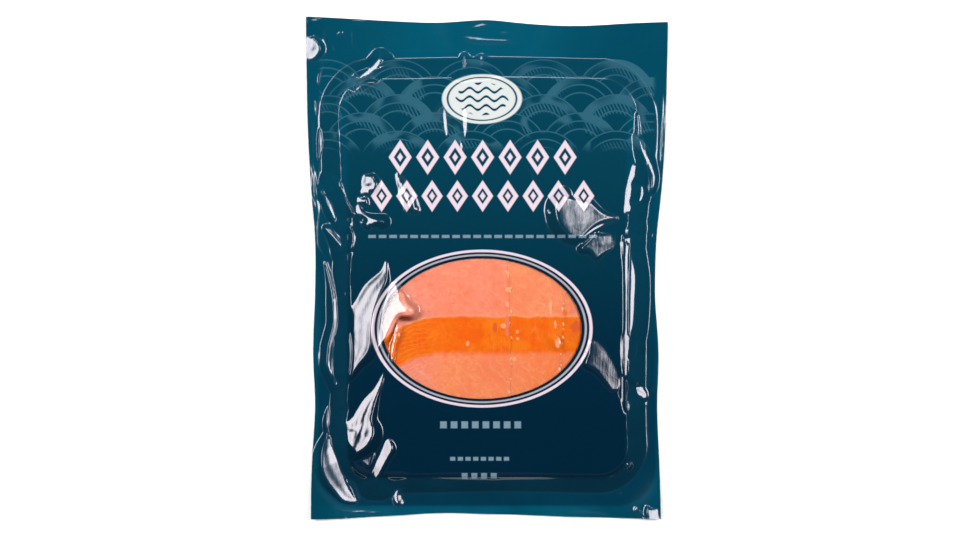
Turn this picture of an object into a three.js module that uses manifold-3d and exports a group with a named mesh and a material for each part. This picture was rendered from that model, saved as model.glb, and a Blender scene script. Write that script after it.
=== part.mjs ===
// A flat vacuum pack of sliced smoked salmon, lying on its back with its front up.
// A printed film pouch, sealed all round, is drawn down over a slab of overlapping slices. An oval window in its
// front shows the slices; its clear film is left out. Millimetres, +Z up, +Y towards the pack's top edge, and the
// origin on the ground under the pack's middle.
import * as THREE from "three";
import { mergeVertices } from "three/addons/utils/BufferGeometryUtils.js";
import Module from "manifold-3d";

// Driving dimensions.
const packWidth = 180;
const packLength = 250;
const filmThickness = 0.6; // of each web
const sealThickness = 1.0; // of the border, where the two webs are welded into one
const gap = 0.35; // between pieces that lie on each other

const slab = { width: 138, length: 198, height: 7, corner: 12, centreY: -5, roundedEdge: 2.6 };
const slabFloor = filmThickness + gap;
const pouchHeight = slab.height + 2 * (filmThickness + gap); // to the top of the film over the slab
const shoulderInside = 2; // where the film starts to bend down, inside the slab's outline
const wallFoot = 8.4; // where the front web meets the sealed border, outside the slab's outline
const hollowReach = 5; // how far outside the slab's outline the two webs stand apart
const cornerSegments = 6;

const windowOval = { width: 98.5, length: 69.5, centreX: -2.5, centreY: -30, segments: 72 };

// How far the vacuum draws each edge in from the flat web's rectangle, at even steps along that edge.
const leftEdgeInset = [0, 0.2, 0.8, 2.2, 4.4, 4.3, 3.4, 4.3, 2.8, 2.4];
const rightEdgeInset = [0, 0.4, 1.2, 2.8, 5.6, 6.2, 4.6, 5.2, 4.2, 3.6];
const topEdgeInset = [0, 0.9, 2.2, 2.8, 1.5, 3.6, 4.4, 3.4, 2.6];
const bottomEdgeInset = [0, 0.5, 1.8, 2.9, 2.5, 1.8, 1, 0.5, 0.3];
const insetReach = 28; // how far in from the edge the film still shifts with it

// The sealed border curls off the ground: a steady rise towards its edge, waves along it, and its four corners.
const borderRise = { height: 1.1, starts: 5.4, full: 24 }; // distances outside the slab's outline
const borderWaves = [
  { height: 0.75, count: 15, phase: 0.6 },
  { height: 0.45, count: 28, phase: 2.1 },
];
const cornerCurls = [
  { x: -90, y: 125, height: 2.4, reach: 30 },
  { x: 90, y: 125, height: 1.3, reach: 34 },
  { x: -87, y: -125, height: 1.9, reach: 32 },
  { x: 87, y: -125, height: 1.5, reach: 26 },
];

// The main folds of the loose film round the slab, each a ridge that tapers out at both ends.
const foldTaper = 0.3; // share of a fold's length that each taper takes
const folds = [
  { from: [71, 10], to: [70, -58], width: 6.5, height: 1.9 },
  { from: [73, 60], to: [69, 22], width: 6, height: 1.6 },
  { from: [-82, 44], to: [-67, 2], width: 6.5, height: 1.8 },
  { from: [-77, -10], to: [-76, -58], width: 6, height: 1.9 },
  { from: [-48, -2], to: [-67, -54], width: 9, height: 1.2 },
  { from: [-49, -58], to: [-68, -96], width: 8, height: 1.4 },
  { from: [-80, -70], to: [-63, -120], width: 6.5, height: 1.9 },
  { from: [-50, 105], to: [-64, 90], width: 6, height: 1.1 },
  { from: [34, 32], to: [67, 20], width: 8, height: 0.8 },
];

// Grid lines of the film: fine over the border and the walls, coarser over the flat middle.
const fineStep = 2.5;
const flatMiddle = { halfWidth: 60, stepX: 15, halfLength: 88, stepY: 8 };

// Where the slices' edges lie on the slab's top. Each slice lies over the next one to its right.
const sliceNames = ["salmon_slice_left", "salmon_slice_middle", "salmon_slice_right"];
const sliceEdges = [
  { x: 11, wave: 1.2, phase: 0.4 },
  { x: 37, wave: 1.8, phase: 2 },
];
const sliceWaveLength = 150;
const sliceTuck = 17; // how far a slice runs in under its neighbour
const sliceStep = 0.35; // how much lower each next slice lies
const sliceEdgeRows = 24;

const wasm = await Module();
wasm.setup();

function smoothStep(from, to, value) {
  const share = Math.min(Math.max((value - from) / (to - from), 0), 1);
  return share * share * (3 - 2 * share);
}

// A smooth curve through evenly spaced values, read at a share 0 to 1 of its length.
function evenCurve(values) {
  const curve = new THREE.SplineCurve(values.map((value, i) => new THREE.Vector2(i, value)));
  return (share) => curve.getPoint(Math.min(Math.max(share, 0), 1)).y;
}

const insets = {
  left: evenCurve(leftEdgeInset),
  right: evenCurve(rightEdgeInset),
  top: evenCurve(topEdgeInset),
  bottom: evenCurve(bottomEdgeInset),
};

// Where a point of the flat web lies once its edges are drawn in.
function drawnIn(x, y) {
  const side = (x < 0 ? insets.left : insets.right)(0.5 - y / packLength);
  const end = (y > 0 ? insets.top : insets.bottom)(0.5 + x / packWidth);
  const sideShare = smoothStep(packWidth / 2 - insetReach, packWidth / 2, Math.abs(x));
  const endShare = smoothStep(packLength / 2 - insetReach, packLength / 2, Math.abs(y));
  return [x - Math.sign(x) * side * sideShare, y - Math.sign(y) * end * endShare];
}

// Distance outside the slab's outline, negative inside it.
function slabDistance(x, y) {
  const dx = Math.abs(x) - (slab.width / 2 - slab.corner);
  const dy = Math.abs(y - slab.centreY) - (slab.length / 2 - slab.corner);
  return Math.hypot(Math.max(dx, 0), Math.max(dy, 0)) + Math.min(Math.max(dx, dy), 0) - slab.corner;
}

// The height of the back web's underside: 0 under the slab and the walls, and up along the border.
function backHeight(x, y) {
  const turn = Math.atan2(y / packLength, x / packWidth);
  let lift = borderRise.height;
  for (const { height, count, phase } of borderWaves) lift += height * (1 + Math.sin(count * turn + phase));
  for (const curl of cornerCurls) {
    lift += curl.height * (1 - smoothStep(0, curl.reach, Math.hypot(x - curl.x, y - curl.y)));
  }
  return lift * smoothStep(borderRise.starts, borderRise.full, slabDistance(x, y));
}

function foldHeight(x, y) {
  let total = 0;
  for (const { from, to, width, height } of folds) {
    const [dx, dy] = [to[0] - from[0], to[1] - from[1]];
    const along = ((x - from[0]) * dx + (y - from[1]) * dy) / (dx * dx + dy * dy);
    const away = Math.abs((x - from[0]) * dy - (y - from[1]) * dx) / Math.hypot(dx, dy);
    const taper = smoothStep(0, foldTaper, along) * (1 - smoothStep(1 - foldTaper, 1, along));
    total += height * taper * (1 - smoothStep(0, width, away));
  }
  return total;
}

// The height of the front web's upper side.
function frontHeight(x, y) {
  const border = sealThickness + backHeight(x, y);
  const drop = smoothStep(-shoulderInside, wallFoot, slabDistance(x, y));
  return pouchHeight + (border - pouchHeight) * drop + foldHeight(x, y);
}

function gridLines(half, middle, coarseStep) {
  const fineCount = Math.round((half - middle) / fineStep);
  const coarseCount = Math.round((2 * middle) / coarseStep);
  const fine = Array.from({ length: fineCount }, (_, i) => half - ((half - middle) * i) / fineCount);
  const coarse = Array.from({ length: coarseCount + 1 }, (_, i) => -middle + (2 * middle * i) / coarseCount);
  return [...fine.map((line) => -line), ...coarse, ...fine.reverse()];
}

function solidFrom(geometry) {
  geometry.deleteAttribute("normal");
  geometry.deleteAttribute("uv");
  const merged = mergeVertices(geometry, 1e-4);
  return new wasm.Manifold(
    new wasm.Mesh({
      numProp: 3,
      vertProperties: merged.getAttribute("position").array,
      triVerts: new Uint32Array(merged.index.array),
    }),
  );
}

function meshFrom(solid, name, material) {
  const { vertProperties, triVerts } = solid.getMesh();
  const geometry = new THREE.BufferGeometry();
  geometry.setAttribute("position", new THREE.Float32BufferAttribute(vertProperties, 3));
  geometry.setIndex([...triVerts]);
  geometry.computeVertexNormals();
  const mesh = new THREE.Mesh(geometry, material);
  mesh.name = name;
  return mesh;
}

// A closed solid between two surfaces over one grid. Each surface gives the point [x, y, z] of a column and a row.
function solidBetween(columns, rows, upper, lower) {
  const positions = [];
  for (const surface of [upper, lower]) {
    for (let j = 0; j < rows; j++) {
      for (let i = 0; i < columns; i++) positions.push(...surface(i, j));
    }
  }
  const top = (i, j) => j * columns + i;
  const low = (i, j) => columns * rows + top(i, j);
  const index = [];
  const quad = (a, b, c, d) => index.push(a, b, c, a, c, d);
  const [lastI, lastJ] = [columns - 1, rows - 1];
  for (let j = 0; j < lastJ; j++) {
    for (let i = 0; i < lastI; i++) {
      quad(top(i, j), top(i + 1, j), top(i + 1, j + 1), top(i, j + 1));
      quad(low(i, j), low(i, j + 1), low(i + 1, j + 1), low(i + 1, j));
    }
    quad(low(0, j + 1), low(0, j), top(0, j), top(0, j + 1));
    quad(low(lastI, j), low(lastI, j + 1), top(lastI, j + 1), top(lastI, j));
  }
  for (let i = 0; i < lastI; i++) {
    quad(low(i, 0), low(i + 1, 0), top(i + 1, 0), top(i, 0));
    quad(low(i + 1, lastJ), low(i, lastJ), top(i, lastJ), top(i + 1, lastJ));
  }
  const geometry = new THREE.BufferGeometry();
  geometry.setAttribute("position", new THREE.Float32BufferAttribute(positions, 3));
  geometry.setIndex(index);
  return solidFrom(geometry);
}

// The slab's outline, grown outwards.
function slabOutline(grow) {
  const r = slab.corner + grow;
  const x = slab.width / 2 + grow - r;
  const y = slab.length / 2 + grow - r;
  const shape = new THREE.Shape();
  shape.absarc(x, y, r, 0, Math.PI / 2);
  shape.absarc(-x, y, r, Math.PI / 2, Math.PI);
  shape.absarc(-x, -y, r, Math.PI, 1.5 * Math.PI);
  shape.absarc(x, -y, r, 1.5 * Math.PI, 2 * Math.PI);
  return shape;
}

// The room between the two webs, under the front web and above the back web.
function makeHollow(xs, ys, webSurface) {
  const belowFront = solidBetween(
    xs.length,
    ys.length,
    webSurface((x, y) => frontHeight(x, y) - filmThickness),
    webSurface(() => -1),
  );
  const inner = new THREE.ExtrudeGeometry(slabOutline(hollowReach), {
    depth: 2 * pouchHeight,
    bevelEnabled: false,
    curveSegments: cornerSegments,
  });
  inner.translate(0, slab.centreY, filmThickness);
  return belowFront.intersect(solidFrom(inner));
}

function makeWindowCutter() {
  const outline = new THREE.Shape();
  outline.absellipse(0, 0, windowOval.width / 2, windowOval.length / 2, 0, 2 * Math.PI);
  const cutter = new THREE.ExtrudeGeometry(outline, {
    depth: pouchHeight,
    bevelEnabled: false,
    curveSegments: windowOval.segments,
  });
  cutter.translate(windowOval.centreX, windowOval.centreY, pouchHeight / 2);
  return solidFrom(cutter);
}

function makePouch() {
  const xs = gridLines(packWidth / 2, flatMiddle.halfWidth, flatMiddle.stepX);
  const ys = gridLines(packLength / 2, flatMiddle.halfLength, flatMiddle.stepY);
  const webSurface = (height) => (i, j) => {
    const [x, y] = drawnIn(xs[i], ys[j]);
    return [x, y, height(x, y)];
  };
  const envelope = solidBetween(xs.length, ys.length, webSurface(frontHeight), webSurface(backHeight));
  return envelope.subtract(makeHollow(xs, ys, webSurface)).subtract(makeWindowCutter());
}

function makeSlab() {
  const edge = slab.roundedEdge;
  const geometry = new THREE.ExtrudeGeometry(slabOutline(0), {
    depth: slab.height - 2 * edge,
    bevelThickness: edge,
    bevelSize: edge,
    bevelOffset: -edge,
    bevelSegments: 4,
    curveSegments: cornerSegments,
  });
  geometry.translate(0, slab.centreY, slabFloor + edge);
  return solidFrom(geometry);
}

// A thin slanting sheet that parts one slice from the next, from its edge on the slab's top down to the slab's foot.
function makeParting({ x, wave, phase }) {
  const slope = slab.height / sliceTuck;
  const halfGap = (gap / 2) * Math.hypot(1, slope);
  const overrun = 1.5 * sliceTuck; // past the slab, both up and down
  const surface = (side) => (i, j) => {
    const y = slab.centreY + (j / (sliceEdgeRows - 1) - 0.5) * packLength;
    const away = i === 0 ? -overrun : overrun / 2;
    const bend = wave * Math.sin((2 * Math.PI * y) / sliceWaveLength + phase);
    return [x + bend + away, y, slabFloor + slab.height + away * slope + side * halfGap];
  };
  return solidBetween(2, sliceEdgeRows, surface(1), surface(-1));
}

function makeSlices() {
  let whole = makeSlab();
  for (const edge of sliceEdges) whole = whole.subtract(makeParting(edge));
  const middle = ({ min, max }) => (min[0] + max[0]) / 2;
  const slices = whole.decompose().sort((a, b) => middle(a.boundingBox()) - middle(b.boundingBox()));
  return slices.map((slice, i) => {
    const headroom = new THREE.BoxGeometry(packWidth, packLength, slab.height);
    headroom.translate(0, 0, slabFloor + slab.height / 2 - i * sliceStep);
    return slice.intersect(solidFrom(headroom));
  });
}

const pack = new THREE.Group();
const filmMaterial = new THREE.MeshStandardMaterial({ color: 0x0a4560, roughness: 0.25, metalness: 0 });
pack.add(meshFrom(makePouch(), "film_pouch", filmMaterial));
makeSlices().forEach((slice, i) => {
  const material = new THREE.MeshStandardMaterial({ color: 0xf4895f, roughness: 0.45, metalness: 0 });
  pack.add(meshFrom(slice, sliceNames[i], material));
});

export default pack;
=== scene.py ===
import math

import bpy
import numpy as np
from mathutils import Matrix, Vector


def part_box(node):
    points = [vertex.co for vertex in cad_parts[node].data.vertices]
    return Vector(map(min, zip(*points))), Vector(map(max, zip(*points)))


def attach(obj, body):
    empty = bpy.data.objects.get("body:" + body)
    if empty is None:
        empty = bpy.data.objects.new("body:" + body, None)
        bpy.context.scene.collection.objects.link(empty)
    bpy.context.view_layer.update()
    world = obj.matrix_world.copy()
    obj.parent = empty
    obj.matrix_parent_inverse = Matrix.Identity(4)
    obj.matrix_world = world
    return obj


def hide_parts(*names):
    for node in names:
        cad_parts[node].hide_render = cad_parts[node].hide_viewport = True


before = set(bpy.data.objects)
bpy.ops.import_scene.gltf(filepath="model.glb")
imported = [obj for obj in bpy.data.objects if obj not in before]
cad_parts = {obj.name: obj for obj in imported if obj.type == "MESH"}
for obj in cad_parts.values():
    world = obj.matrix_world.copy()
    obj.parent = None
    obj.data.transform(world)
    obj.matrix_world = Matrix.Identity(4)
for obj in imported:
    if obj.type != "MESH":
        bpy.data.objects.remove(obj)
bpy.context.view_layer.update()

studioShade = 0.65  # what a colour keeps so that the light brings it back to how it should look
mm = 0.001  # the numbers below are millimetres, and meshes and materials turn them into metres

# the camera looks straight down on the pack
viewFrame = {"width": 960, "mmPerPixel": 0.495, "middleX": -3.5, "middleY": -1.0, "distance": 1000}

# softboxes round the pack: azimuth, angle from straight up, distance, width, height, radiance in its middle
softboxes = {
    "left": (160, 31, 1200, 980, 500, 21),
    "right": (11, 31, 1200, 880, 500, 21),
    "top": (90, 33, 1200, 560, 340, 12),
}
softboxFade = {"full": 0.2, "dim": 0.5, "least": 0.02}  # distances from its middle in widths, and the end

# the sky's brightness by height, 1 straight up
sky = [(0.0, 0.03), (0.5, 0.04), (0.8, 0.1), (0.9, 0.2), (0.945, 0.15), (0.975, 0.0)]

# what model.glb gives: the pouch's outline and the slab of slices inside it
sliceNodes = ["salmon_slice_left", "salmon_slice_middle", "salmon_slice_right"]
pouchLow, pouchHigh = (np.array(corner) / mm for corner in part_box("film_pouch"))
sliceCorners = np.array([[list(corner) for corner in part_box(node)] for node in sliceNodes]) / mm
slabLow, slabHigh = sliceCorners[:, 0].min(axis=0), sliceCorners[:, 1].max(axis=0)

slab = {
    "left": slabLow[0],
    "right": slabHigh[0],
    "low": slabLow[1],
    "high": slabHigh[1],
    "corner": 12,
    "floor": slabLow[2],
    "top": slabHigh[2],
}


def smoothStep(low, high, value):
    share = np.clip((value - low) / (high - low), 0, 1)
    return share * share * (3 - 2 * share)


def ramp(low, high, value, bend):  # straight in the middle, and bent over a share of its length at each end
    t = np.clip((value - low) / (high - low), 0, 1)
    slope = 1 / (1 - bend)
    start, end = slope * t * t / (2 * bend), 1 - slope * (1 - t) ** 2 / (2 * bend)
    return np.where(t < bend, start, np.where(t > 1 - bend, end, slope * (t - bend / 2)))


def evenCurve(values, share):  # a smooth curve through evenly spaced values, read at a share of its length
    values = np.asarray(values, float)
    place = np.clip(share, 0, 1) * (len(values) - 1)
    start = np.minimum(place.astype(int), len(values) - 2)
    t = place - start
    before, first, second, after = (
        values[np.clip(start + step, 0, len(values) - 1)] for step in (-1, 0, 1, 2)
    )
    outward, inward = (second - before) / 2, (after - first) / 2
    cubic = 2 * first - 2 * second + outward + inward
    square = 3 * second - 3 * first - 2 * outward - inward
    return (cubic * t + square) * t * t + outward * t + first


def halfSpan(outline, low, high):  # the middle of an outline in one direction, and half its width there
    return (outline[low] + outline[high]) / 2, (outline[high] - outline[low]) / 2


def outlineDistance(x, y, outline):  # outside a rounded rectangle, negative inside
    (middleX, halfX), (middleY, halfY) = halfSpan(outline, "left", "right"), halfSpan(outline, "low", "high")
    dx, dy = np.abs(x - middleX) - halfX + outline["corner"], np.abs(y - middleY) - halfY + outline["corner"]
    outside = np.hypot(np.maximum(dx, 0), np.maximum(dy, 0))
    return outside + np.minimum(np.maximum(dx, dy), 0) - outline["corner"]


# the welded border: how far the vacuum draws each edge in, and how the border curls off the ground
border = {
    "leftInset": [0, 0.2, 0.8, 2.2, 4.4, 4.3, 3.4, 4.3, 2.8, 2.4],
    "rightInset": [0, 0.4, 1.2, 2.8, 5.6, 6.2, 4.6, 5.2, 4.2, 3.6],
    "topInset": [0, 0.9, 2.2, 2.8, 1.5, 3.6, 4.4, 3.4, 2.6],
    "bottomInset": [0, 0.5, 1.8, 2.9, 2.5, 1.8, 1, 0.5, 0.3],
    "insetReach": 28,
    "rise": 1.1,
    "riseStarts": 5.4,
    "riseFull": 24,
    "waves": [(0.4, 15, 0.6), (0.16, 28, 2.1)],  # height, count round the border, phase
    "cornerCurls": [(-90, 125, 2.4, 30), (90, 125, 1.3, 34), (-87, -125, 1.9, 32), (87, -125, 1.5, 26)],
    "thickness": 0.4,
    "leastThickness": 0.24,  # where a fold dips
}

# where the film starts down from the slab, and where it is welded: its sides at even steps from top to bottom
plateau = {
    "leftSteps": [-72, -73.3, -72.8, -71.5, -66.5, -67.8, -68.2, -67.4, -69.2, -70.5, -69],
    "rightSteps": [72, 74.2, 73.8, 70.8, 69, 69.4, 69.4, 69.2, 69, 69.5, 70],
    "low": -102,
    "high": 94.4,
    "corner": 15,
}
weld = {
    "leftSteps": [-84.5, -84.5, -84.5, -84.5, -84, -83.6, -83.5, -83.5, -84, -84, -82],
    "rightSteps": [84.5, 85, 85, 85, 84, 82.6, 81.5, 81.5, 81.5, 80.6, 79.4],
    "low": -118.6,
    "high": 104.8,
    "corner": 21,
}

film = {
    "overSlab": 0.55,  # the film's upper side, above the slices
    "hollowOverSlab": 0.3,  # its underside there
    "hollowUnderSlab": 0.5,
    "overHollow": 0.12,  # the least that stays over the room for the slices
    "besideHollow": 0.45,
    "wallWidth": 10,
    "leftWalls": [10, 10, 10, 10, 10, 9.6, 9, 9.4, 9, 9.2, 10],  # on the left, from top to bottom
    "leftWallsFrom": 40,  # they take over between these two distances from the middle
    "leftWallsFull": 66,
    "bend": 0.012,  # share of the way down over which it bends, at each end
    "skirt": 0.3,  # how much higher than the border the wall ends
    "weldRidge": 0.03,
    "weldWidth": 0.9,
    "swell": 0.08,  # height of the slow waves over the slab
    "foldFall": 0.75,  # how steeply the film runs down behind a fold's crest
    "farFall": 0.1,  # the same where the film is even
    "fallReach": 12,  # how far round a fold the film is drawn along
    "softEdge": 0.5,  # how much flatter a lit slope is at its foot and its crest
    "streakDrift": 2.5,  # how far its streaks drift across it from end to end, in radians
    "wellInside": 2,  # a fold starts on the slab when its foot lies this far in from the slab's outline
    "mapStep": 0.3,
    "sideways": 0.36,  # how far a lit slope may turn aside from the lamp, as a share of its steepness
    "columns": [  # stretches of the mesh from left to right, and the step in each
        (-90, -79.1, 0.55), (-79.1, -78.9, 0.1), (-78.9, -69.1, 0.55), (-69.1, -68.9, 0.1),
        (-68.9, -44, 0.55), (-44, -24, 1.6), (-24, -8, 0.75), (-8, 26, 1.7), (26, 44, 1.0),
        (44, 70.9, 0.55), (70.9, 71.1, 0.1), (71.1, 80.9, 0.55), (80.9, 81.1, 0.1), (81.1, 90, 0.55),
    ],
    "shoulderColumns": {"left": -69, "right": 71},  # these follow the edge that the film runs down from
    "shoulderHold": 11,  # the columns up to here from them follow too, and those beyond shoulderEnd don't
    "shoulderEnd": 18.5,
    "rowStep": 0.78,
    "backStep": 2.6,
    "plainUnder": 4,  # faces that look down are the plain back web, up to here above the slab's floor
    "plainNormal": -0.2,  # how far up such a face looks, at most
}

# the room inside the pouch: distance from the slab's outline, and height
hollowProfile = (
    [-3, -1.8, -0.9, -0.3, 0.3, 0.31],
    [slab["top"] + film["hollowOverSlab"] - drop for drop in (0, 0.3, 0.82, 1.5, 2.7, 99)],
)

# the band pressed across the top
topBand = {"low": 108.9, "high": 118.4, "halfWidth": 82, "depth": 0.2, "soft": 0.9, "softEnds": 2}

# folds that catch the light, each a slope from a foot up to a crest, both paths from the top down:
# foot, crest, how many degrees short of a lamp's middle the slope looks, its streaks and how deep they are
folds = [
    # left of the window, facing left
    ([(-50.4, 4), (-52.4, -1), (-57, -5), (-61, -9), (-65, -16), (-68.7, -22), (-68.8, -28), (-67.6, -34),
      (-67, -40), (-66.9, -46), (-67.8, -54)],
     [(-49.6, 3.4), (-49.3, -2), (-50, -7), (-53, -13), (-56, -22), (-57, -30), (-57.6, -38), (-59.5, -43),
      (-63.6, -47.8), (-67.2, -53.5)], 0, 1, 0.42),
    ([(-47.5, -7), (-49.5, -12), (-51.5, -18), (-53, -26), (-54, -34), (-54.3, -40)],
     [(-45, -7.5), (-42.5, -13), (-40.5, -18), (-38, -21.5), (-44.5, -23.5), (-48, -30), (-51, -36),
      (-54, -40.5)], 0, 1, 0.2),
    ([(-50.6, -50), (-55.5, -59), (-61, -65), (-64.5, -70.5), (-66.6, -74), (-71.8, -78.2), (-69.6, -82),
      (-68.6, -87), (-66.8, -92.4)],
     [(-50.5, -51), (-52, -57), (-54.2, -63), (-56, -69), (-57.2, -75), (-56, -80), (-56.8, -84),
      (-60, -88.5), (-65.5, -92.3)], 0, 2, 0.4),
    ([(-50, -84.6), (-52.6, -91), (-56.2, -99), (-56, -105)],
     [(-48, -85), (-46.8, -89.5), (-49.6, -95), (-54.6, -104.8)], 0, 0, 0),
    ([(-60, -91.6), (-62.6, -94.4), (-58.6, -98.4)], [(-55.6, -86), (-56, -92), (-57.8, -98)], 9.8, 0, 0),
    # across the print, facing left
    ([(-61.6, 46), (-62.4, 41.6), (-60.6, 38.4)],
     [(-56.4, 45.6), (-54.6, 41.6), (-55.6, 38.4)], 0, 1, 0.35),
    ([(-45.8, 46.4), (-44, 41), (-41.4, 35), (-38.6, 29)],
     [(-44, 47), (-41.2, 42), (-38, 35.6), (-36, 28.6)], 0, 0, 0),
    ([(-62.6, 38.8), (-62.8, 36.2)], [(-58, 39.2), (-58, 36.4)], 0, 0, 0),
    ([(-64.6, 35), (-64.2, 32.2)], [(-60, 34.2), (-59.6, 31.6)], 0, 0, 0),
    ([(-65, 31), (-64.4, 27), (-61.6, 22.6), (-58.8, 20.4)],
     [(-63, 30.8), (-61.4, 27.2), (-57.6, 24.8), (-51.6, 22.8)], 0, 0, 0),
    ([(-64.6, 94.6), (-60.4, 98), (-57, 101), (-53.2, 105.4)],
     [(-63.4, 93.8), (-58.6, 95.6), (-54, 99.6), (-51.8, 103.4)], 0, 0, 0),
    ([(-90, 115), (-90, 104)],
     [(-86.5, 114.5), (-84, 112), (-83, 108.5), (-85.5, 104.5), (-88, 103.4)], 0, 1, 0.3),
    # the left border, facing right
    ([(-79, 20.4), (-76, 18.6), (-71.8, 18), (-70.8, 13), (-69.6, 8.8)],
     [(-80.6, 20), (-78, 17), (-75, 13.6), (-71, 9), (-69.9, 8.3)], 0, 0, 0),
    ([(-78.4, -84), (-76, -90.5), (-74, -95.6), (-71.6, -103), (-69.2, -109.4), (-65, -116.4)],
     [(-80, -84), (-82, -91), (-81.8, -99.6), (-79.4, -106), (-75.4, -111.5), (-71.4, -116),
      (-65.5, -117)], 6, 1, 0.25),
    # the right border, facing right
    ([(74, 51.6), (73.4, 46), (72.4, 39), (71.6, 33), (71.2, 27.6)],
     [(72.2, 51.6), (70.4, 45), (69, 37), (68, 30), (68, 27.6)], 0, 0, 0),
    ([(71, 15.8), (71.2, 12.8)], [(67.4, 16), (67.2, 12.6)], 0, 0, 0),
    ([(70.4, 12), (70, 6), (69.8, 0), (69.5, -8), (69.4, -30), (70.6, -34), (70.4, -40), (69.8, -46),
      (69, -54)],
     [(67, 12.4), (67.4, 6), (68, 0), (68.2, -10), (68.2, -30), (67, -34), (66.4, -40), (66.8, -46),
      (68.2, -54)], 0, 0, 0),
    ([(76.8, -58.4), (79, -61.4), (79.8, -64), (78.8, -65.4)],
     [(72.3, -58.6), (72.6, -61.4), (75.6, -63.6), (78.2, -65.2)], 4, 1, 0.4),
    ([(85.6, -119.4), (85.6, -125)], [(79.8, -119.6), (79.2, -125)], 7, 0, 0),
    # right of the window and of the print, facing right and only half lit
    ([(51, 32.6), (55.5, 28.4), (59.5, 26.2), (66, 24.9), (58, 23.7), (53, 21.2), (49.5, 18.2), (46.4, 15)],
     [(37.4, 36), (34, 30.8), (34.6, 25), (36.5, 20.5), (40, 16.5), (43.4, 14.6)], 9.6, 3, 0.1),
    ([(62, 16.6), (63.6, 12.4), (62, 9.8), (57, 7), (54.4, 5)],
     [(53.6, 16.6), (50, 13), (47, 9.6), (50.6, 8.8), (53.6, 5)], 10.5, 1, 0.1),
    ([(55, -36), (59, -40), (62, -45), (64.6, -51), (65.6, -57), (64.5, -60.6)],
     [(51, -35.6), (50.6, -42), (49, -47.6), (54, -51), (58, -56), (61.5, -60.6)], 11.2, 1, 0.1),
]

# the same in the walls, where the crest keeps its height and the foot hangs from it
terraces = [
    ([(71.6, 6), (73.2, -1), (73.6, -6), (73.3, -15), (72.8, -24), (72, -30), (70.8, -34.5)],
     [(70.6, 8), (71.2, 2), (71, -6), (70.8, -16), (70.6, -26), (70.4, -33)], 0, 0, 0),
]

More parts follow.
